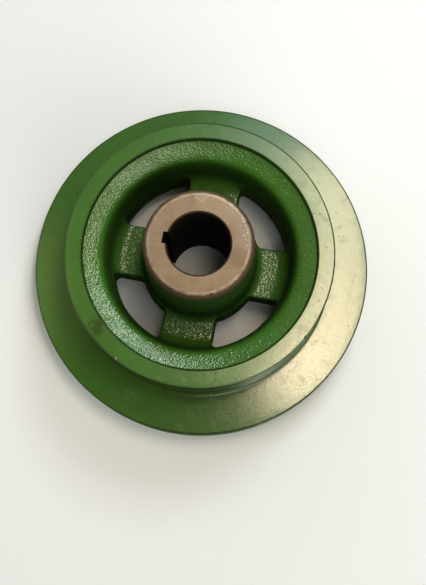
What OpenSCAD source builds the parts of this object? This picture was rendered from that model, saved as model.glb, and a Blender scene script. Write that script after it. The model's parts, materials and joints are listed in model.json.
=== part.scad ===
// Two-step V-belt pulley, cast in one piece and then turned.
// The axis is +Z, the rear faces of the rim and the hub lie on Z = 0,
// and the keyway is on the -X side, in line with a spoke.

/* [Hub] */
// Bore for the shaft
bore_d = 42; // [34:0.5:48]
// Chamfer at both ends of the bore
bore_chamfer = 1.2; // [0.5:0.1:2]
// Outside diameter of the hub at both ends
hub_d = 74; // [66:0.5:78]
// Length of the hub from end to end
hub_length = 97; // [86:1:120]
// Chamfer round the front end of the hub
hub_chamfer = 2.7; // [1:0.1:6]
// Rounding round the rear end of the hub
hub_rear_round = 2; // [1:0.5:4]
// Draft of the hub's wall, which widens towards the web (degrees)
hub_draft = 2.2; // [0:0.1:3]
// Width of the keyway
key_w = 8; // [6:0.5:14]
// Depth of the keyway from the wall of the bore
key_depth = 3.3; // [2:0.1:5]

/* [Rim] */
// Outside diameter of the large step, at the rear
large_d = 240; // [230:1:270]
// Width of the large step along the axis
large_w = 22; // [21:0.5:28]
// Outside diameter of the small step, at the front
small_d = 184; // [178:1:194]
// Width of the small step along the axis
small_w = 50; // [46:1:64]
// Rounding of the rim's outer edges
edge_round = 1.2; // [0.4:0.1:1.5]
// Fillet where the small step meets the side of the large one
step_fillet = 1.5; // [0.5:0.1:3]

/* [Belt grooves] */
// Width of a belt groove at the outside of the rim
groove_w = 17; // [13:0.5:18]
// Angle between the two walls of a groove (degrees)
groove_angle = 36; // [32:1:40]
// Depth of a groove
groove_depth = 14; // [10:0.5:15]
// Number of grooves on the small step
small_grooves = 2; // [1:1:2]
// Distance between the middles of neighbouring grooves
groove_pitch = 19; // [18.5:0.5:22]
// Rounding of the edges of a groove
groove_edge_round = 0.8; // [0.2:0.1:0.9]
// Rounding in the bottom of a groove
groove_floor_round = 1.5; // [0.5:0.1:2]

/* [Front well] */
// Width of the turned ring on the front of the rim
face_w = 11.5; // [9:0.5:13]
// Drop from the turned ring to the cast lip inside it
lip_drop = 3; // [1.5:0.5:5]
// Slope of the cast lip towards the axis (degrees)
lip_slope = 20; // [12:1:26]
// Rounding from the lip into the wall of the well
lip_round = 8; // [4:0.5:10]
// Fillet in the corner below the turned ring
lip_fillet = 1.5; // [0.5:0.1:2]
// Diameter of the well at the web, which is also the outer end of the windows
well_d = 124; // [118:1:128]
// Draft of the well's wall (degrees)
well_draft = 8; // [3:0.5:10]

/* [Web and spokes] */
// Height of the web's front surface above the rear face
web_front = 39; // [34:1:44]
// Thickness of the web
web_t = 18; // [14:0.5:20]
// Fillet from the web into the wall of the well
web_fillet = 10; // [6:0.5:12]
// Fillet from the web into the hub, on the front side
hub_fillet = 6.5; // [2:0.5:8]
// Number of spokes
spoke_count = 4; // [3:1:5]
// Width of a spoke
spoke_w = 36.5; // [24:0.5:42]
// Width of the ledge left between the hub and a window
window_ledge = 2.85; // [1:0.05:4.5]
// Rounding of the corners of a window
window_round = 3; // [2:0.5:6]

/* [Rear side] */
// Thickness of the plate that carries the large step
plate_t = 11; // [9:0.5:12]
// Wall between the large groove and the rear recess
large_wall = 9; // [6:0.5:12]
// Diameter of the rear well at the web
rear_well_d = 128; // [126:1:134]
// Draft of the walls in the rear recess (degrees)
rear_draft = 6; // [2:0.5:8]
// Fillets and rounded edges in the rear recess
rear_fillet = 4; // [2:0.5:5]
// Fillet from the web into the hub, on the rear side
rear_hub_fillet = 4; // [2:0.5:5]

/* [Hidden] */

// Angle that one facet of a rounded corner covers, in degrees
arc_step = 9;
// Amount by which a cutter stands past the faces that it opens
past = 1;
$fn = 96;

bore_r = bore_d / 2;
hub_r = hub_d / 2;
large_r = large_d / 2;
small_r = small_d / 2;
rim_w = large_w + small_w;
well_r = well_d / 2;
rear_well_r = rear_well_d / 2;
face_inner_r = small_r - face_w;
web_rear = web_front - web_t;
plate_rear = large_w - plate_t;
hub_r_at_web = hub_r + (hub_length - web_front) * tan(hub_draft);
hub_r_behind_web = hub_r + web_rear * tan(hub_draft);
recess_r = large_r - groove_depth - large_wall;

// Corner below the turned ring, and the corner where the lip meets the well's wall
lip_outer = [face_inner_r - lip_drop * tan(well_draft), rim_w - lip_drop];
lip_inner_r = (well_r + (lip_outer[1] - lip_outer[0] * tan(lip_slope) - web_front) * tan(well_draft))
    / (1 - tan(lip_slope) * tan(well_draft));
lip_inner = [lip_inner_r, lip_outer[1] - (lip_outer[0] - lip_inner_r) * tan(lip_slope)];

// Points of an arc about a centre, from one angle to another, both ends included
function arc(centre, radius, from, to) =
    let (steps = max(1, ceil(abs(to - from) / arc_step)))
    [for (i = [0:steps]) centre + radius * [cos(from + (to - from) * i / steps),
                                            sin(from + (to - from) * i / steps)]];

function unit(v) = v / norm(v);
function point(corner) = [corner[0], corner[1]];

// Angle of b, moved by whole turns to lie within half a turn of the angle a
function near_angle(b, a) = b - 360 * round((b - a) / 360);

// Arc that rounds one corner [x, y, radius] between its two neighbours
function rounded_corner(before, corner, after) =
    let (to_before = unit(point(before) - point(corner)),
         to_after = unit(point(after) - point(corner)),
         half = acos(to_before * to_after) / 2,
         centre = point(corner) + unit(to_before + to_after) * corner[2] / sin(half),
         start = point(corner) + to_before * corner[2] / tan(half) - centre,
         end = point(corner) + to_after * corner[2] / tan(half) - centre,
         from = atan2(start[1], start[0]))
    arc(centre, corner[2], from, near_angle(atan2(end[1], end[0]), from));

// Closed outline through corners [x, y, radius], where a radius of 0 is a sharp corner
function rounded_outline(corners) =
    let (n = len(corners))
    [for (i = [0:n - 1])
        each corners[i][2] == 0
            ? [point(corners[i])]
            : rounded_corner(corners[(i + n - 1) % n], corners[i], corners[(i + 1) % n])];

// Corners of one belt groove in a rim of the given radius, from its rear wall to its front wall
function groove_corners(rim_r, middle) =
    let (floor_w = groove_w - 2 * groove_depth * tan(groove_angle / 2))
    [[rim_r, middle - groove_w / 2, groove_edge_round],
     [rim_r - groove_depth, middle - floor_w / 2, groove_floor_round],
     [rim_r - groove_depth, middle + floor_w / 2, groove_floor_round],
     [rim_r, middle + groove_w / 2, groove_edge_round]];

// Rear side, from the bore out to the edge of the large step
rear_corners = [
    [bore_r, bore_chamfer, 0],
    [bore_r + bore_chamfer, 0, 0],
    [hub_r, 0, hub_rear_round],
    [hub_r_behind_web, web_rear, rear_hub_fillet],
    [rear_well_r, web_rear, rear_fillet],
    [rear_well_r + (web_rear - plate_rear) * tan(rear_draft), plate_rear, rear_fillet],
    [recess_r, plate_rear, rear_fillet],
    [recess_r + plate_rear * tan(rear_draft), 0, hub_rear_round],
    [large_r, 0, edge_round]];

// Outside of the two steps, from the rear to the front
large_groove_z = large_w / 2;
small_groove_z = [for (i = [0:small_grooves - 1])
    large_w + small_w / 2 + (i - (small_grooves - 1) / 2) * groove_pitch];
rim_corners = [
    each groove_corners(large_r, large_groove_z),
    [large_r, large_w, edge_round],
    [small_r, large_w, step_fillet],
    each [for (z = small_groove_z) each groove_corners(small_r, z)],
    [small_r, rim_w, edge_round]];

// Front side, from the turned ring in to the bore
front_corners = [
    [face_inner_r, rim_w, 0],
    [lip_outer[0], lip_outer[1], lip_fillet],
    [lip_inner[0], lip_inner[1], lip_round],
    [well_r, web_front, web_fillet],
    [hub_r_at_web, web_front, hub_fillet],
    [hub_r + hub_chamfer * tan(hub_draft), hub_length - hub_chamfer, 0],
    [hub_r - hub_chamfer, hub_length, 0],
    [bore_r + bore_chamfer, hub_length, 0],
    [bore_r, hub_length - bore_chamfer, 0]];

// The whole casting turned about its axis, before the windows and the keyway are cut
module turned_blank() {
    rotate_extrude()
        polygon(rounded_outline([each rear_corners, each rim_corners, each front_corners]));
}

// A point mirrored in the line through the origin at an angle
function mirrored(p, angle) = [
    p[0] * cos(2 * angle) + p[1] * sin(2 * angle),
    p[0] * sin(2 * angle) - p[1] * cos(2 * angle)];

// Outline of the window between the spoke on +X and the next one: straight along
// the spokes, round along the hub and the well, with a rounded corner at each end
function window_outline() =
    let (inner_r = hub_r_at_web + window_ledge,
         side = spoke_w / 2,
         middle = 180 / spoke_count,
         corner_y = side + window_round,
         outer_x = sqrt(pow(well_r - window_round, 2) - pow(corner_y, 2)),
         inner_x = sqrt(pow(inner_r + window_round, 2) - pow(corner_y, 2)),
         outer_angle = atan2(corner_y, outer_x),
         inner_angle = atan2(corner_y, inner_x),
         half = [
             each arc([0, 0], inner_r, middle, inner_angle),
             each arc([inner_x, corner_y], window_round, 180 + inner_angle, 270),
             each arc([outer_x, corner_y], window_round, 270, 360 + outer_angle),
             each arc([0, 0], well_r, outer_angle, middle)])
    [each half, each [for (i = [len(half) - 2:-1:1]) mirrored(half[i], middle)]];

// Openings between the spokes, through the web and the fillet round the well
module windows() {
    for (i = [0:spoke_count - 1])
        rotate(i * 360 / spoke_count)
            translate([0, 0, web_rear - past])
                linear_extrude(web_t + web_fillet + 2 * past)
                    polygon(window_outline());
}

// Slot for the key, along the whole bore
module keyway() {
    translate([-bore_r - key_depth, -key_w / 2, -past])
        cube([bore_r + key_depth, key_w, hub_length + 2 * past]);
}

module pulley() {
    color([0.13, 0.30, 0.07])
        difference() {
            turned_blank();
            windows();
            keyway();
        }
}

pulley();
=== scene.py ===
import json
import math

import bmesh
import bpy
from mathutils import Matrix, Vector


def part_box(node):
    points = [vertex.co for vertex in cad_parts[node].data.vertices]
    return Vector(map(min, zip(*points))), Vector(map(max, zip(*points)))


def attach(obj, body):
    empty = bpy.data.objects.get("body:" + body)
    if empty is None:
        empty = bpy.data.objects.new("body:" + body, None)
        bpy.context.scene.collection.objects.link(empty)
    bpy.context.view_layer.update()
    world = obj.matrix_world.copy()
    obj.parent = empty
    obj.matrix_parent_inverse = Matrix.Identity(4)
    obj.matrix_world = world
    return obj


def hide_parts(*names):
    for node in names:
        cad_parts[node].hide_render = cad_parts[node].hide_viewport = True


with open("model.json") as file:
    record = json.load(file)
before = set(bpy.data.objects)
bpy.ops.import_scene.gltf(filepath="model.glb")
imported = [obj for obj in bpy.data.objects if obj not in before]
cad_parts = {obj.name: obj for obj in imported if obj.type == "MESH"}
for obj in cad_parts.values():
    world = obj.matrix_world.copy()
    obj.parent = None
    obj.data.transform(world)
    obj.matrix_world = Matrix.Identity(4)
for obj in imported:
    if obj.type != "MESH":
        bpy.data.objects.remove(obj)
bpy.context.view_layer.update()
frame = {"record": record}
scene = bpy.context.scene
scene.view_settings.view_transform = "Standard"

# The half section
# The pulley is one iron casting, turned on the rim, the hub's ends and the bore. Its half
# section is an outline of corners in millimetres: radius, height, rounding, and the number
# of parts that the straight stretch up to the next corner is cut into.
MM = 0.001
low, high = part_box("pulley")
bore_mount = next(m for m in frame["record"]["mounts"] if m["name"] == "shaft_bore")
BORE_R = bore_mount["dims"]["r_mm"]
HUB_LENGTH = high[2] / MM
BORE_CHAMFER = (HUB_LENGTH - bore_mount["dims"]["length_mm"]) / 2
HUB_R = 37
HUB_CHAMFER = 2.7
HUB_FRONT_ROUND = 4.2
HUB_REAR_ROUND = 2
HUB_FILLET = 6.5
HUB_DRAFT = math.tan(math.radians(2.2))
LARGE_R = (high[1] - low[1]) / 2 / MM
LARGE_W = 22
SMALL_R = 92
RIM_W = 72
EDGE_ROUND = 0.7
STEP_FILLET = 1.5
GROOVE_W = 17
GROOVE_DEPTH = 14
GROOVE_SLOPE = math.tan(math.radians(18))
GROOVE_PITCH = 19
GROOVE_EDGE = 0.8
GROOVE_FLOOR = 1.5
RING_W = 11.5
RING_IN_R = SMALL_R - RING_W
RING_EDGE = 0.4
LIP_DROP = 3
LIP_SLOPE = math.tan(math.radians(20))
LIP_FILLET = 1.5
LIP_ROUND = 8
WELL_R = 62
WELL_DRAFT = math.tan(math.radians(8))
WEB_FRONT = 39
WEB_REAR = 21
WEB_FILLET = 10
WINDOW_IN_R = 42.08
PLATE_REAR = 11
LARGE_WALL = 9
REAR_WELL_R = 64
REAR_DRAFT = math.tan(math.radians(6))
REAR_FILLET = 4
RECESS_R = LARGE_R - GROOVE_DEPTH - LARGE_WALL


def groove(rim_r, middle):
    """Corners of one belt groove, from its rear wall to its front wall."""
    floor_w = GROOVE_W - 2 * GROOVE_DEPTH * GROOVE_SLOPE
    return [
        (rim_r, middle - GROOVE_W / 2, GROOVE_EDGE, 2),
        (rim_r - GROOVE_DEPTH, middle - floor_w / 2, GROOVE_FLOOR, 2),
        (rim_r - GROOVE_DEPTH, middle + floor_w / 2, GROOVE_FLOOR, 2),
        (rim_r, middle + GROOVE_W / 2, GROOVE_EDGE, 1),
    ]


hub_r_at_web = HUB_R + (HUB_LENGTH - WEB_FRONT) * HUB_DRAFT
hub_r_behind_web = HUB_R + WEB_REAR * HUB_DRAFT
lip_r = RING_IN_R - LIP_DROP * WELL_DRAFT
lip_z = RIM_W - LIP_DROP
lip_rise = lip_z - lip_r * LIP_SLOPE - WEB_FRONT
wall_r = (WELL_R + lip_rise * WELL_DRAFT) / (1 - LIP_SLOPE * WELL_DRAFT)
small_middle = (LARGE_W + RIM_W) / 2
corners = [
    (BORE_R, BORE_CHAMFER, 0, 1),
    (BORE_R + BORE_CHAMFER, 0, 0, 3),
    (HUB_R, 0, HUB_REAR_ROUND, 6),
    (hub_r_behind_web, WEB_REAR, REAR_FILLET, 1),
    (WINDOW_IN_R, WEB_REAR, 0, 8),
    (REAR_WELL_R, WEB_REAR, REAR_FILLET, 2),
    (REAR_WELL_R + (WEB_REAR - PLATE_REAR) * REAR_DRAFT, PLATE_REAR, REAR_FILLET, 8),
    (RECESS_R, PLATE_REAR, REAR_FILLET, 2),
    (RECESS_R + PLATE_REAR * REAR_DRAFT, 0, HUB_REAR_ROUND, 4),
    (LARGE_R, 0, EDGE_ROUND, 1),
    *groove(LARGE_R, LARGE_W / 2),
    (LARGE_R, LARGE_W, EDGE_ROUND, 5),
    (SMALL_R, LARGE_W, STEP_FILLET, 2),
    *groove(SMALL_R, small_middle - GROOVE_PITCH / 2),
    *groove(SMALL_R, small_middle + GROOVE_PITCH / 2),
    (SMALL_R, RIM_W, EDGE_ROUND, 3),
    (RING_IN_R, RIM_W, RING_EDGE, 1),
    (lip_r, lip_z, LIP_FILLET, 3),
    (wall_r, lip_z - (lip_r - wall_r) * LIP_SLOPE, LIP_ROUND, 4),
    (WELL_R, WEB_FRONT, WEB_FILLET, 4),
    (hub_r_at_web, WEB_FRONT, HUB_FILLET, 16),
    (HUB_R + HUB_CHAMFER * HUB_DRAFT, HUB_LENGTH - HUB_CHAMFER, HUB_FRONT_ROUND, 1),
    (HUB_R - HUB_CHAMFER, HUB_LENGTH, HUB_FRONT_ROUND, 3),
    (BORE_R + BORE_CHAMFER, HUB_LENGTH, 0, 1),
    (BORE_R, HUB_LENGTH - BORE_CHAMFER, 0, 12),
]


def select_where(kind, test):
    """Selects the vertices, edges or faces in edit mode that pass a test."""
    bpy.ops.mesh.select_mode(type=kind)
    bpy.ops.mesh.select_all(action="DESELECT")
    mesh = bmesh.from_edit_mesh(bpy.context.object.data)
    parts = {"VERT": mesh.verts, "EDGE": mesh.edges, "FACE": mesh.faces}[kind]
    for part in parts:
        if test(part):
            part.select_set(True)
    mesh.select_flush_mode()
    bmesh.update_edit_mesh(bpy.context.object.data)


def middle_of(edge):
    return (edge.verts[0].co + edge.verts[1].co) / 2


bpy.ops.object.select_all(action="DESELECT")
bpy.ops.mesh.primitive_circle_add(vertices=len(corners), fill_type="NGON")
casting = bpy.context.object
casting.name = "pulley_casting"
bpy.ops.object.mode_set(mode="EDIT")
mesh = bmesh.from_edit_mesh(casting.data)
mesh.verts.ensure_lookup_table()
points = [Vector((r, 0, z)) * MM for r, z, _, _ in corners]
for vert, point in zip(mesh.verts, points):
    vert.co = point
bmesh.update_edit_mesh(casting.data)

# Each corner is rounded by a bevel, which reaches the same way along both stretches
SAME_PLACE = 1e-6
ARC_PART = 2
LEAST_PARTS = 3
reach = []
for i, (_, _, rounding, _) in enumerate(corners):
    before = (points[i - 1] - points[i]).normalized()
    after = (points[(i + 1) % len(points)] - points[i]).normalized()
    half = before.angle(after) / 2
    reach.append(rounding * MM / math.tan(half))
    if rounding:
        select_where("VERT", lambda vert: (vert.co - points[i]).length < SAME_PLACE)
        arc_length = rounding * (math.pi - 2 * half)
        arc_parts = max(LEAST_PARTS, round(arc_length / ARC_PART))
        bpy.ops.mesh.bevel(offset=reach[i], segments=arc_parts, affect="VERTICES")
for i, (_, _, _, parts) in enumerate(corners):
    j = (i + 1) % len(points)
    along = (points[j] - points[i]).normalized()
    middle = (points[i] + along * reach[i] + points[j] - along * reach[j]) / 2
    if parts > 1:
        select_where("EDGE", lambda edge: (middle_of(edge) - middle).length < SAME_PLACE)
        bpy.ops.mesh.subdivide(number_cuts=parts - 1)

# One point of the fillet round the hub moves to where the windows will cut it
tilt = math.atan(HUB_DRAFT)
centre_z = WEB_FRONT + HUB_FILLET
centre_r = hub_r_at_web + HUB_FILLET * math.tan(math.pi / 4 - tilt / 2)
ledge_z = centre_z - math.sqrt(HUB_FILLET ** 2 - (centre_r - WINDOW_IN_R) ** 2)
ledge = Vector((WINDOW_IN_R, 0, ledge_z)) * MM
mesh = bmesh.from_edit_mesh(casting.data)
nearest = min(mesh.verts, key=lambda vert: (vert.co - ledge).length)
nearest.co = ledge
bmesh.update_edit_mesh(casting.data)

# The outline is spun about the axis, with as many columns to each spoke and window
SPOKES = 4
SPOKE_W = 36.5
SPOKE_COLUMNS = 12
WINDOW_COLUMNS = 28
columns = SPOKES * (SPOKE_COLUMNS + WINDOW_COLUMNS)
bpy.ops.mesh.select_all(action="SELECT")
bpy.ops.mesh.delete(type="ONLY_FACE")
bpy.ops.mesh.select_all(action="SELECT")
bpy.ops.mesh.spin(steps=columns, angle=2 * math.pi, center=(0, 0, 0), axis=(0, 0, 1))
bpy.ops.mesh.select_all(action="SELECT")
bpy.ops.mesh.remove_doubles(threshold=SAME_PLACE)
bpy.ops.mesh.normals_make_consistent(inside=False)

# The spokes and windows
# The web between the hub and the well is cast with four openings. The columns of the
# spun mesh are drawn together so that each spoke has straight sides, the faces of the
# windows are taken out, and walls are bridged between the front and the rear.
WINDOW_ROUND = 3
WINDOW_EDGE = 1.8
WINDOW_EDGE_PARTS = 3
WINDOW_WALL_CUTS = 5
OUTER_END_REAR = WEB_REAR - 5
OUTER_END_FRONT = WEB_FRONT + 6
OUTER_END_REACH = 0.6
quarter = 2 * math.pi / SPOKES
even_half = quarter * SPOKE_COLUMNS / (SPOKE_COLUMNS + WINDOW_COLUMNS) / 2


def turned_about_axis(place):
    """Radius in mm, angle from the nearest spoke, and that spoke's own angle."""
    angle = math.atan2(place.y, place.x)
    spoke = round(angle / quarter) * quarter
    return math.hypot(place.x, place.y) / MM, angle - spoke, spoke


def spoke_half_angle(radius):
    return math.asin(SPOKE_W / 2 / min(max(radius, WINDOW_IN_R), WELL_R))


mesh = bmesh.from_edit_mesh(casting.data)
for vert in mesh.verts:
    radius, angle, spoke = turned_about_axis(vert.co)
    by_web = OUTER_END_REAR < vert.co.z / MM < OUTER_END_FRONT
    if by_web and abs(radius - WELL_R) < OUTER_END_REACH:
        radius = WELL_R
    side = spoke_half_angle(radius)
    if abs(angle) < even_half:
        angle *= side / even_half
    else:
        past_side = (abs(angle) - even_half) / (quarter / 2 - even_half)
        angle = math.copysign(side + past_side * (quarter / 2 - side), angle)
    vert.co.x = radius * MM * math.cos(spoke + angle)
    vert.co.y = radius * MM * math.sin(spoke + angle)
bmesh.update_edit_mesh(casting.data)


def in_window(face):
    radius, angle, _ = turned_about_axis(face.calc_center_median())
    return WINDOW_IN_R < radius < WELL_R and abs(angle) > spoke_half_angle(radius)


select_where("FACE", in_window)
bpy.ops.mesh.delete(type="FACE")

# The corners of a window are rounded by moving its edge on to an arc
ON_SIDE = 0.01
ON_END = 0.3
corner_y = SPOKE_W / 2 + WINDOW_ROUND
outer_centre = Vector((math.sqrt((WELL_R - WINDOW_ROUND) ** 2 - corner_y ** 2), corner_y))
inner_centre = Vector((math.sqrt((WINDOW_IN_R + WINDOW_ROUND) ** 2 - corner_y ** 2), corner_y))


def on_rounded_corner(x, y):
    """Place on a window's rounded edge for a point on its sharp edge, beside the +X spoke."""
    side = SPOKE_W / 2
    radius = math.hypot(x, y)
    angle = math.atan2(y, x)
    on_side = abs(y - side) < ON_SIDE
    for centre, rim, outer in ((outer_centre, WELL_R, True), (inner_centre, WINDOW_IN_R, False)):
        tangent = math.atan2(centre.y, centre.x)
        corner = Vector((math.sqrt(rim ** 2 - side ** 2), side))
        corner_angle = math.atan2(corner.y, corner.x)
        span = math.pi / 2 + tangent if outer else math.pi / 2 - tangent
        share = None
        if on_side and (x - centre.x) * (corner.x - centre.x) > 0:
            share = 0.5 * (x - centre.x) / (corner.x - centre.x)
        elif not on_side and abs(radius - rim) < ON_END and angle < tangent:
            share = 1 - 0.5 * (tangent - angle) / (tangent - corner_angle)
        if share is not None:
            turn = share * span if outer else -share * span
            heading = -math.pi / 2 + turn
            x = centre.x + WINDOW_ROUND * math.cos(heading)
            y = centre.y + WINDOW_ROUND * math.sin(heading)
            break
    return x, y


mesh = bmesh.from_edit_mesh(casting.data)
for vert in [v for v in mesh.verts if v.is_boundary]:
    radius, angle, spoke = turned_about_axis(vert.co)
    x, y = on_rounded_corner(radius * math.cos(angle), radius * abs(math.sin(angle)))
    radius = math.hypot(x, y)
    angle = math.copysign(math.atan2(y, x), angle)
    vert.co.x = radius * MM * math.cos(spoke + angle)
    vert.co.y = radius * MM * math.sin(spoke + angle)
bmesh.update_edit_mesh(casting.data)

for window in range(SPOKES):
    window_angle = (window + 0.5) * quarter
    toward = Vector((math.cos(window_angle), math.sin(window_angle)))
    select_where("EDGE", lambda edge: (
        edge.is_boundary and middle_of(edge).to_2d().angle(toward) < quarter / 2))
    bpy.ops.mesh.bridge_edge_loops(number_cuts=WINDOW_WALL_CUTS, interpolation="LINEAR")
    bpy.ops.mesh.region_to_loop()
    bpy.ops.mesh.bevel(offset=WINDOW_EDGE * MM, segments=WINDOW_EDGE_PARTS, affect="EDGES")
bpy.ops.mesh.select_all(action="SELECT")
bpy.ops.mesh.normals_make_consistent(inside=False)
bpy.ops.object.mode_set(mode="OBJECT")

# The keyway
# A slot for the key is cut along the whole bore, on the side of a spoke. A plain block
# cuts it, and the finished mesh then gets its smooth shading.
KEY_W = 8
KEY_DEPTH = 3.3
SHARP_ANGLE = math.radians(40)
key_out = BORE_R + KEY_DEPTH
bpy.ops.object.select_all(action="DESELECT")
bpy.ops.mesh.primitive_cube_add(size=1, location=(-key_out / 2 * MM, 0, HUB_LENGTH / 2 * MM))
cutter = bpy.context.object
cutter.scale = (key_out * MM, KEY_W * MM, 2 * HUB_LENGTH * MM)
bpy.ops.object.select_all(action="DESELECT")
casting.select_set(True)
bpy.context.view_layer.objects.active = casting
cut = casting.modifiers.new("keyway", "BOOLEAN")
cut.object = cutter
cut.solver = "EXACT"
bpy.ops.object.modifier_apply(modifier=cut.name)
bpy.data.objects.remove(cutter)
bpy.ops.object.shade_smooth_by_angle(angle=SHARP_ANGLE)
shading = casting.modifiers.new("even_shading", "WEIGHTED_NORMAL")
shading.keep_sharp = True
bpy.ops.object.modifier_apply(modifier=shading.name)

# The enamel on the turned faces
# Gloss green enamel, sprayed on the turned rim: smooth, with a faint orange peel. Painted
# shade darkens its edges, the side of the step and the corner at its foot, and use has left
# a stain, smudges, chips, specks, scuffs and scratches.
class Wire:
    """A node's output, which plain arithmetic combines with numbers and other outputs."""

    def __init__(self, tree, output):
        self.tree = tree
        self.output = output

    def node(self, kind, settings, values, result=0):
        made = self.tree.nodes.new(kind)
        for name, value in settings.items():
            setattr(made, name, value)
        for name, value in values.items():
            if isinstance(value, Wire):
                self.tree.links.new(value.output, made.inputs[name])
            else:
                made.inputs[name].default_value = value
        return Wire(self.tree, made.outputs[result])

    def math(self, operation, first, second):
        return self.node("ShaderNodeMath", {"operation": operation}, {0: first, 1: second})

    def __add__(self, other):
        return self.math("ADD", self, other)

    def __radd__(self, other):
        return self.math("ADD", other, self)

    def __sub__(self, other):
        return self.math("SUBTRACT", self, other)

    def __rsub__(self, other):
        return self.math("SUBTRACT", other, self)

    def __mul__(self, other):
        return self.math("MULTIPLY", self, other)

    def __rmul__(self, other):
        return self.math("MULTIPLY", other, self)


def new_finish(name):
    """A material, the wire of its piece's own coordinates, and its shader."""
    finish = bpy.data.materials.new(name)
    finish.use_nodes = True
    tree = finish.node_tree
    place = Wire(tree, tree.nodes.new("ShaderNodeTexCoord").outputs["Object"])
    return finish, place, tree.nodes["Principled BSDF"]


def join(shader, values):
    """Sets or links the sockets of a shader."""
    for name, value in values.items():
        if isinstance(value, Wire):
            value.tree.links.new(value.output, shader.inputs[name])
        else:
            shader.inputs[name].default_value = value


def over(shader, mask, layer):
    """Shows a second shader over a finish's own one, by a mask."""
    under = Wire(layer.tree, shader.outputs["BSDF"])
    skin = layer.node("ShaderNodeMixShader", {}, {0: mask, 1: under, 2: layer})
    skin.tree.links.new(skin.output, skin.tree.nodes["Material Output"].inputs["Surface"])


def ease(value, start, end):
    """0 where a value is at its start, 1 at its end, smooth between them."""
    return value.node("ShaderNodeMapRange", {"interpolation_type": "SMOOTHSTEP"},
                      {"Value": value, "From Min": start, "From Max": end})


def grain(place, size, detail=2.0):
    """Soft noise from 0 to 1 with blotches of about one size in millimetres."""
    values = {"Vector": place, "Scale": 1 / (size * MM), "Detail": detail}
    return place.node("ShaderNodeTexNoise", {}, values)


def blotches(place, size, start, end, detail=2.0):
    """Patches of about one size: 0 where the grain is at a start, 1 where it is at an end."""
    return ease(grain(place, size, detail), start, end)


def tint(mask, colour, other):
    """One colour where the mask is 0 and another where it is 1."""
    return mask.node("ShaderNodeMix", {"data_type": "RGBA"}, {0: mask, 6: colour, 7: other}, 2)


def part_of(place, axis):
    """One coordinate, in millimetres."""
    return place.node("ShaderNodeSeparateXYZ", {}, {"Vector": place}, axis) * (1 / MM)


def distance_from_axis(place):
    """Distance from the bore's axis, in millimetres."""
    flat = place.node("ShaderNodeVectorMath", {"operation": "MULTIPLY"}, {0: place, 1: (1, 1, 0)})
    return flat.node("ShaderNodeVectorMath", {"operation": "LENGTH"}, {0: flat}, 1) * (1 / MM)


def near(place, spot, size):
    """1 within a small distance of a spot, 0 at twice that distance, all in millimetres."""
    apart = place.node("ShaderNodeVectorMath", {"operation": "DISTANCE"},
                       {0: place, 1: Vector(spot) * MM}, 1)
    return 1 - ease(apart, size * MM, 2 * size * MM)


def scratch(place, start, end, width):
    """1 on a straight line between two spots, 0 from a width away from it, in millimetres."""
    run = (Vector(end) - Vector(start)) * MM
    reach = place.node("ShaderNodeVectorMath", {"operation": "SUBTRACT"},
                       {0: place, 1: Vector(start) * MM})
    share = reach.node("ShaderNodeVectorMath", {"operation": "DOT_PRODUCT"},
                       {0: reach, 1: run / run.length_squared}, 1)
    share = share.node("ShaderNodeClamp", {}, {"Value": share})
    foot = share.node("ShaderNodeVectorMath", {"operation": "SCALE"}, {0: run, "Scale": share})
    apart = foot.node("ShaderNodeVectorMath", {"operation": "DISTANCE"}, {0: reach, 1: foot}, 1)
    return 1 - ease(apart, 0.3 * width * MM, width * MM)


def rim_line(radius, height, rim_r, rim_z, width):
    """1 on a turned edge, 0 from a width away from it, in millimetres."""
    across = radius - rim_r
    along = height - rim_z
    return 1 - ease(across * across + along * along, width * width / 4, width * width)


def dots(place, spacing, size, share):
    """Small round specks: one in a share of the cells of a given spacing, in millimetres."""
    cells = {"Vector": place, "Scale": 1 / (spacing * MM)}
    apart = place.node("ShaderNodeTexVoronoi", {}, cells, 0)
    chance = place.node("ShaderNodeTexVoronoi", {}, cells, 1)
    chance = chance.node("ShaderNodeSeparateColor", {}, {0: chance}, 0)
    speck = 1 - ease(apart, 0.5 * size / spacing, size / spacing)
    return speck * ease(chance, 1 - share, 1.001 - share)


def bumps(height, depth):
    """Surface relief of a height from 0 to 1, with its depth in millimetres."""
    values = {"Strength": 1.0, "Distance": depth * MM, "Height": height}
    return height.node("ShaderNodeBump", {}, values)


ENAMEL = (0.041, 0.142, 0.014, 1)
ENAMEL_THICK = (0.038, 0.126, 0.009, 1)
ENAMEL_IOR = 1.5
HAZE_ROUGHNESS = 0.45
STEP_CORNER_SHADE = (0.036, 0.066, 0.003, 1)
OIL_STAIN = (0.021, 0.062, 0.000, 1)
DUST = (0.13, 0.19, 0.09, 1)
CHIPPED = (0.25, 0.26, 0.20, 1)
FLAW_AND_EDGE_SHADE = (0.014, 0.013, 0.006, 1)
STEP_SIDE_SHADE = (0.020, 0.046, 0.006, 1)
STAIN_SPOT = (-58, -63, RIM_W)
SMUDGES = (
    ((-34, -99, LARGE_W), 3),
    ((-30, -101, LARGE_W), 3),
    ((33, -102, LARGE_W), 2.5),
)
PALE_CHIP = (-41.5, -81.5, RIM_W)
DARK_CHIP = (80.5, -44.6, RIM_W)
SCUFFED_SPOT = (38, 98, LARGE_W)
SCRATCHES = (
    ((63.5, 86.1, LARGE_W), (67.9, 88.4, LARGE_W), 0.9),
    ((67.9, 88.4, LARGE_W), (73.1, 84.0, LARGE_W), 0.9),
    ((93.2, 37.1, LARGE_W), (102.8, 38.2, LARGE_W), 0.6),
    ((68.3, 56.6, RIM_W), (72.3, 53.8, RIM_W), 0.8),
)
PITS = ((85.4, -9.6, RIM_W), (90.7, 57.9, LARGE_W))
PIT_SIZE = 0.6
EDGE_SHADE_WIDTH = 1.3
FINE_LINE = 0.9
EDGE_END = RIM_W - 1.7
turned_enamel, place, shader = new_finish("turned_enamel")
across, along, height = (part_of(place, axis) for axis in range(3))
radius = distance_from_axis(place)
on_ring = ease(height, RIM_W - 12, RIM_W - 4)
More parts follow.
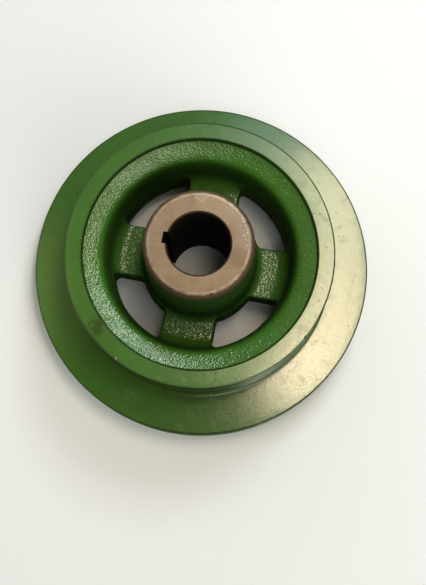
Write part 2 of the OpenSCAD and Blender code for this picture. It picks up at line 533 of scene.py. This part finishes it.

# Colour of the paint, with painted shade in the corner at the step's foot, the stain and the
# smudges
colour = tint(blotches(place, 40, 0.35, 0.65, 3), ENAMEL, ENAMEL_THICK)
# Painted shade: the disc is darkened at the foot of the step, under the ring
corner_shade = 1 - ease(radius + grain(place, 9, 3) * 8, SMALL_R + 3, SMALL_R + 12)
colour = tint(corner_shade * (1 - on_ring) * 0.6, colour, STEP_CORNER_SHADE)
stain = near(place, STAIN_SPOT, 3.8) * blotches(place, 4, 0.33, 0.45, 3)
colour = tint(stain, colour, OIL_STAIN)
smudge = sum(near(place, spot, size) for spot, size in SMUDGES)
colour = tint(smudge * blotches(place, 3, 0.3, 0.7, 4) * 0.3, colour, DUST)
colour = tint(near(place, PALE_CHIP, 0.7), colour, CHIPPED)

# Where the gloss is gone: painted shade on the edges and the step's side; specks, chips, scuffs,
# scratches
specks = dots(place, 4.5, 0.7, 0.35)
chip = near(place, DARK_CHIP, 0.8)
# Painted shade: dark lines on the turned edges, fainter at the front and stronger on the right
edge_shade_fade = 0.15 + ease(along, -50, -20) * 0.85
edges = rim_line(radius, height, SMALL_R, RIM_W, EDGE_SHADE_WIDTH) * edge_shade_fade
edges = edges + rim_line(radius, height, SMALL_R, EDGE_END, FINE_LINE)
edges = edges + rim_line(radius, height, LARGE_R, LARGE_W, EDGE_SHADE_WIDTH)
edges = edges + rim_line(radius, height, RING_IN_R, RIM_W, FINE_LINE)
edge_shade_strength = 0.6 + ease(across, -60, 30) * 0.25
# Painted shade: a dark, dull band on the side of the step below the ring, fading out to the right
below_ring = ease(height, LARGE_W + 1, LARGE_W + 3) * (1 - ease(height, RIM_W - 1.2, RIM_W - 0.5))
step_side_shade = (1 - ease(radius, SMALL_R + 0.2, SMALL_R + 1)) * below_ring
side_shade_strength = 0.75 - ease(across, 22, 52) * 0.75
scuffs = near(place, SCUFFED_SPOT, 11) * blotches(place, 2, 0.44, 0.62, 4) * 0.22
marks = sum(scratch(place, start, end, width) for start, end, width in SCRATCHES)
marks = marks + sum(near(place, spot, PIT_SIZE) for spot in PITS)
marks = ease(marks, 0, 1) * blotches(place, 1.5, 0.3, 0.6) * 0.22
glossy = (1 - specks * 0.7) * (1 - chip) * (1 - edges * edge_shade_strength) * (1 - step_side_shade * side_shade_strength)
flaws_and_shade = 1 - glossy * (1 - scuffs) * (1 - marks)

smears = blotches(place, 7, 0.5, 0.8, 6)
sprayed = bumps(grain(place, 1.4) * 0.45 + grain(place, 7) * 0.55, 0.045)
join(shader, {
    "Base Color": colour,
    "Roughness": 0.105 + on_ring * 0.05 + grain(place, 2.2, 3) * 0.12 + smears * 0.07,
    "IOR": ENAMEL_IOR,
    "Specular IOR Level": 1.0,
    "Coat Weight": 0.1 + smears * 0.05,
    "Coat Roughness": HAZE_ROUGHNESS,
    "Coat IOR": ENAMEL_IOR,
    "Normal": sprayed,
})
# Dark, dull coat for the flaws and for the painted shade on the edges and the step's side
dull_flaws_and_shade = sprayed.node("ShaderNodeBsdfPrincipled", {}, {
    "Base Color": tint(step_side_shade, FLAW_AND_EDGE_SHADE, STEP_SIDE_SHADE),
    "Roughness": 0.85,
    "Specular IOR Level": 0.1,
    "Normal": sprayed,
})
over(shader, flaws_and_shade, dull_flaws_and_shade)

# The enamel on the cast faces
# The same enamel over the rough skin of the casting: the sand of the mould left grains of
# one or two millimetres, which glitter under the gloss. Painted shade darkens the web, and
# darkens and dulls the walls, the drop below the ring and the top spoke; random patches on
# the web and the lip are dull, and rust shows through round the hub's front end.
def steepness(place, upright, level):
    """1 on walls and faces that look down, 0 on faces that look up, by how far they look up."""
    normal = place.node("ShaderNodeNewGeometry", {}, {}, "Normal")
    upward = normal.node("ShaderNodeSeparateXYZ", {}, {"Vector": normal}, 2)
    return 1 - ease(upward, upright, level)


WEB_SHADE = (0.026, 0.064, 0.008, 1)
WALL_SHADE = (0.010, 0.034, 0.003, 1)
LIP_STEP_SHADE = (0.006, 0.014, 0.003, 1)
HUB_RUST = (0.060, 0.036, 0.014, 1)
GREEN_GLINT = (0.92, 1.0, 0.85, 1)
SHADED_SPOKE_SPOT = (-4, 52, WEB_FRONT)
cast_enamel, place, shader = new_finish("cast_enamel")
height = part_of(place, 2)
radius = distance_from_axis(place)
on_lip = ease(height, WEB_FRONT + 9, WEB_FRONT + 21)
steep = steepness(place, 0.5, 0.97)
colour = tint(blotches(place, 18, 0.35, 0.65, 3), ENAMEL, ENAMEL_THICK)
# Painted shade: the web, deep in the well, is darker than the lip
colour = tint((1 - on_lip) * 0.6, colour, WEB_SHADE)
# Painted shade: steep walls in the well are painted near black
dark = tint(steep * 0.85, colour, WALL_SHADE)
# Painted shade on the short drop between the ring and the lip
dark = tint(ease(radius, RING_IN_R - 1.3, RING_IN_R - 0.5), dark, LIP_STEP_SHADE)
rusty = ease(height + grain(place, 6, 3) * 5, HUB_LENGTH - 3.5, HUB_LENGTH - 1)
rusty = rusty * (1 - ease(radius, HUB_R + 2, HUB_R + 5))
# Painted shade over the top spoke, which is darkened and dulled
spoke_shade = near(place, SHADED_SPOKE_SPOT, 10)
patches = blotches(place, 1.7, 0.38, 0.56, 3) * (1 - on_lip)
worn = blotches(place, 13, 0.5, 0.66) * on_lip
# Where the dull, dark coat shows: painted shade on the steep walls and the top spoke, and random
# dull patches
dull_and_shaded = 1 - (1 - steep) * (1 - patches * 0.85) * (1 - worn * 0.3) * (1 - spoke_shade * 0.9)
sand_grains = grain(place, 1.4) * 0.7 + grain(place, 5) * 0.4
sand = bumps(sand_grains * (0.76 + on_lip * 0.24), 0.7)
join(shader, {
    "Base Color": colour,
    "Roughness": 0.19 - on_lip * 0.07,
    "IOR": ENAMEL_IOR,
    "Specular IOR Level": 1.0,
    "Specular Tint": GREEN_GLINT,
    "Coat Weight": 0.1,
    "Coat Roughness": HAZE_ROUGHNESS,
    "Coat IOR": ENAMEL_IOR,
    "Normal": sand,
})
dull = sand.node("ShaderNodeBsdfPrincipled", {}, {
    "Base Color": tint(rusty, dark, HUB_RUST),
    "Roughness": 0.8,
    "Specular IOR Level": 0.1,
    "Normal": sand,
})
over(shader, dull_and_shaded, dull)

# The bare iron
# The hub's ends, the bore and the keyway are turned and cut after painting: dull iron with
# a film of rust, fine rings from the tool, and painted shade that blackens the bore. The
# front face is scraped, has a painted highlight along its rounded end and painted glints
# beside it on the right, is paler grey on the right, and brown with rust outside that.
IRON = (0.225, 0.150, 0.089, 1)
IRON_PALE = (0.32, 0.235, 0.165, 1)
IRON_BROWN = (0.17, 0.108, 0.062, 1)
IRON_SCRAPE_AND_HIGHLIGHT = (0.42, 0.33, 0.23, 1)
IRON_GREY = (0.31, 0.25, 0.19, 1)
IRON_GLINT = (0.62, 0.55, 0.44, 1)
RUST_BROWN = (0.046, 0.023, 0.004, 1)
BORE_SHADE = (0.007, 0.005, 0.003, 1)
DUSTY_SPOT = (8, 30, HUB_LENGTH)
BROWN_SPOT = (29, -4, HUB_LENGTH)
SCRAPES = (
    ((-7.3, 30.5, HUB_LENGTH), (-2.8, 28.6, HUB_LENGTH), 1.3),
    ((-2.8, 28.6, HUB_LENGTH), (0.1, 32.9, HUB_LENGTH), 1.2),
    ((-5.3, 33.5, HUB_LENGTH), (-2.3, 31.0, HUB_LENGTH), 1.4),
)
NICKS = (((14.6, -32.1, 96.4), 0.8), ((-10.5, 34.8, 96), 0.6))
HIGHLIGHT_R = 33.6
HIGHLIGHT_Z = 96.85
GLINT_R = 33.2
bare_iron, place, shader = new_finish("bare_iron")
across, along, height = (part_of(place, axis) for axis in range(3))
radius = distance_from_axis(place)
cloud = ease(grain(place, 12, 4) * 0.7 + grain(place, 1.2) * 0.3, 0.38, 0.62)
dusty = near(place, DUSTY_SPOT, 10)
colour = tint(1 - (1 - cloud * 0.7) * (1 - dusty * 0.8), IRON, IRON_PALE)
colour = tint(near(place, BROWN_SPOT, 5) * 0.6, colour, IRON_BROWN)
scrape = sum(scratch(place, start, end, width) for start, end, width in SCRAPES)
scrape = ease(scrape, 0, 1) * (0.5 + grain(place, 1.5) * 0.7)
# Painted highlight: a pale line along the rounding where the front face ends
edge_highlight = rim_line(radius, height, HIGHLIGHT_R, HIGHLIGHT_Z, 1.1) * blotches(place, 5, 0.3, 0.6, 3)
colour = tint(1 - (1 - edge_highlight * 0.8) * (1 - scrape * 0.7), colour, IRON_SCRAPE_AND_HIGHLIGHT)
# Paler grey on the right of the front face
right_of_face = ease(across, 8, 24) * ease(along, -8, 6)
colour = tint(right_of_face * ease(radius, 22, 30) * 0.55, colour, IRON_GREY)
# Painted glints: bright specks near the right edge of the front face
glints = dots(place, 1.7, 0.6, 0.6) * right_of_face
glints = glints * rim_line(radius, height, GLINT_R, HUB_LENGTH, 4)
colour = tint(glints, colour, IRON_GLINT)
nicked = sum(near(place, spot, size) for spot, size in NICKS)
rust = 1 - ease(height + grain(place, 4, 3) * 1.2, HUB_LENGTH - 0.5, HUB_LENGTH + 0.5)
rust = rust * ease(height, 60, 70)
colour = tint(1 - (1 - rust * 0.9) * (1 - nicked), colour, RUST_BROWN)
rings = radius.node("ShaderNodeTexNoise", {"noise_dimensions": "1D"},
                    {"W": radius, "Scale": 2.2, "Detail": 2.0})
turned_skin = bumps(rings * 0.6 + grain(place, 1.2) * 0.5, 0.06)
join(shader, {
    "Base Color": colour,
    "Roughness": 0.5 + cloud * 0.12 - edge_highlight * 0.12 + rust * 0.1,
    "Metallic": 0.35,
    "Normal": turned_skin,
})
# Painted shade: the bore and the keyway are near black, as in deep shade
bore_shade = turned_skin.node("ShaderNodeBsdfPrincipled", {}, {
    "Base Color": BORE_SHADE,
    "Roughness": 0.8,
    "Specular IOR Level": 0.1,
    "Normal": turned_skin,
})
# The painted shade covers the steep faces of the bore and the keyway
inside = steepness(place, 0.6, 0.95) * (1 - ease(radius, BORE_R + 5, BORE_R + 6))
over(shader, inside, bore_shade)

# Each face of the casting gets its finish by its place, with small margins for rounding
finishes = [turned_enamel, cast_enamel, bare_iron]
for finish in finishes:
    casting.data.materials.append(finish)
for face in casting.data.polygons:
    place = face.center / MM
    radius = math.hypot(place.x, place.y)
    in_bore = radius < BORE_R + KEY_DEPTH + 1
    on_hub_end = place.z > HUB_LENGTH - HUB_CHAMFER or place.z < 0.5
    outside_well = radius > RING_IN_R - 0.3
    outside_recess = place.z > PLATE_REAR + 0.1 or radius > RECESS_R + 1.4
    if in_bore or (radius < HUB_R + 1 and on_hub_end):
        finish = bare_iron
    elif outside_well and outside_recess:
        finish = turned_enamel
    else:
        finish = cast_enamel
    face.material_index = finishes.index(finish)
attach(casting, "root")
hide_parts("pulley")

# The floor
# A plain pale floor under the pulley, matt, and wide enough to reach the horizon in the
# other views.
FLOOR_SIZE = 40
FLOOR_WHITE = (0.90, 0.93, 0.98, 1)
bpy.ops.mesh.primitive_plane_add(size=FLOOR_SIZE)
floor = bpy.context.object
floor.name = "floor"
floor_white, _, shader = new_finish("floor_white")
join(shader, {"Base Color": FLOOR_WHITE, "Roughness": 0.9})
floor.data.materials.append(floor_white)

# The light
# Panels over the right side show in the gloss of the flat faces: a warm one and a pale one
# with dim ones round them. A window behind makes the cast skin glitter, and the room adds
# low pale walls on the left and at the front right, a glow high up and a grey skirting.
PANEL_Z = 1000


def light_panel(name, middle, size, radiance, colour, target=None):
    """A flat lamp, its middle and size in millimetres, that faces down or to a target."""
    data = bpy.data.lights.new(name, "AREA")
    data.shape = "RECTANGLE"
    data.size = size[0] * MM
    data.size_y = size[1] * MM
    data.energy = radiance * math.pi * data.size * data.size_y
    data.color = colour
    lamp = bpy.data.objects.new(name, data)
    lamp.location = Vector(middle) * MM
    if target:
        toward = Vector(target) - Vector(middle)
        lamp.rotation_euler = toward.to_track_quat("-Z", "Y").to_euler()
    scene.collection.objects.link(lamp)


light_panel("warm_panel", (167, 115, PANEL_Z), (150, 250), 13, (1.0, 0.80, 0.55))
light_panel("pale_panel", (150, 345, PANEL_Z), (165, 210), 10.4, (1.0, 0.845, 0.635))
light_panel("cool_panel", (45, 415, PANEL_Z), (180, 190), 2.2, (0.60, 0.85, 1.0))
light_panel("low_panel", (112, 75, PANEL_Z - 10), (90, 150), 5.0, (1.0, 0.85, 0.60))
light_panel("side_panel", (410, -60, PANEL_Z), (560, 720), 1.4, (1.0, 1.0, 0.95))
light_panel("front_panel", (135, -310, PANEL_Z), (230, 260), 3.0, (1.0, 1.0, 0.95))
light_panel("corner_panel", (560, -520, PANEL_Z), (320, 300), 2.6, (1.0, 0.97, 0.85))
light_panel("left_panel", (-370, 110, PANEL_Z), (170, 210), 0.9, (0.95, 1.0, 0.40))
light_panel("window", (300, 1120, 1120), (600, 450), 11.5, (0.86, 0.95, 1.0), (0, 0, 60))

DIM_ROOM = (0.06, 0.05, 0.03, 1)
LEFT_WALL = (2.1, 2.0, 1.8, 1)
FRONT_WALL = (2.1, 2.0, 1.75, 1)
HIGH_GLOW = (0.28, 0.28, 0.26, 1)
SKIRTING = (0.40, 0.39, 0.36, 1)
world = bpy.data.worlds.new("studio")
scene.world = world
world.use_nodes = True
tree = world.node_tree
sky = Wire(tree, tree.nodes.new("ShaderNodeTexCoord").outputs["Generated"])


def facing(azimuth, elevation):
    """How closely a direction in the room agrees with one given in degrees."""
    turn = math.radians(azimuth)
    rise = math.radians(elevation)
    aim = (math.cos(rise) * math.cos(turn), math.cos(rise) * math.sin(turn), math.sin(rise))
    return sky.node("ShaderNodeVectorMath", {"operation": "DOT_PRODUCT"}, {0: sky, 1: aim}, 1)


upward = facing(0, 90)
left_wall = ease(facing(140, 0), 0.3, 0.75) * (1 - ease(upward, 0.3, 0.65))
high_glow = ease(facing(115, 50), 0.88, 0.97) * 0.6 + ease(facing(175, 46), 0.86, 0.96)
room = tint(left_wall, DIM_ROOM, LEFT_WALL)
room = tint(ease(facing(318, 9), 0.7, 0.94), room, FRONT_WALL)
room = tint(high_glow, room, HIGH_GLOW)
room = tint(1 - ease(upward, 0.02, 0.05), room, SKIRTING)
tree.links.new(room.output, tree.nodes["Background"].inputs["Color"])

# The camera
# It looks down on the pulley from just in front of it, as the photograph does, and is
# rolled a little. The focal length is in pixels of the photograph's frame.
AIM = Vector((13.0, -21.5, 48.5)) * MM
DISTANCE = 735.7 * MM
AZIMUTH = math.radians(13.88)
ELEVATION = math.radians(79.25)
ROLL = math.radians(3.44)
FOCAL_PIXELS = 1059
PHOTO_HEIGHT = 585
SENSOR = 36
camera_data = bpy.data.cameras.new("camera")
camera_data.sensor_width = SENSOR
camera_data.lens = SENSOR * FOCAL_PIXELS / PHOTO_HEIGHT
camera = bpy.data.objects.new("camera", camera_data)
back = Vector((
    math.cos(ELEVATION) * math.sin(AZIMUTH),
    -math.cos(ELEVATION) * math.cos(AZIMUTH),
    math.sin(ELEVATION),
))
camera.location = AIM + back * DISTANCE
camera.rotation_mode = "QUATERNION"
camera.rotation_quaternion = (-back).to_track_quat("-Z", "Y")
camera.rotation_mode = "XYZ"
camera.rotation_euler.rotate_axis("Z", -ROLL)
scene.collection.objects.link(camera)
scene.camera = camera
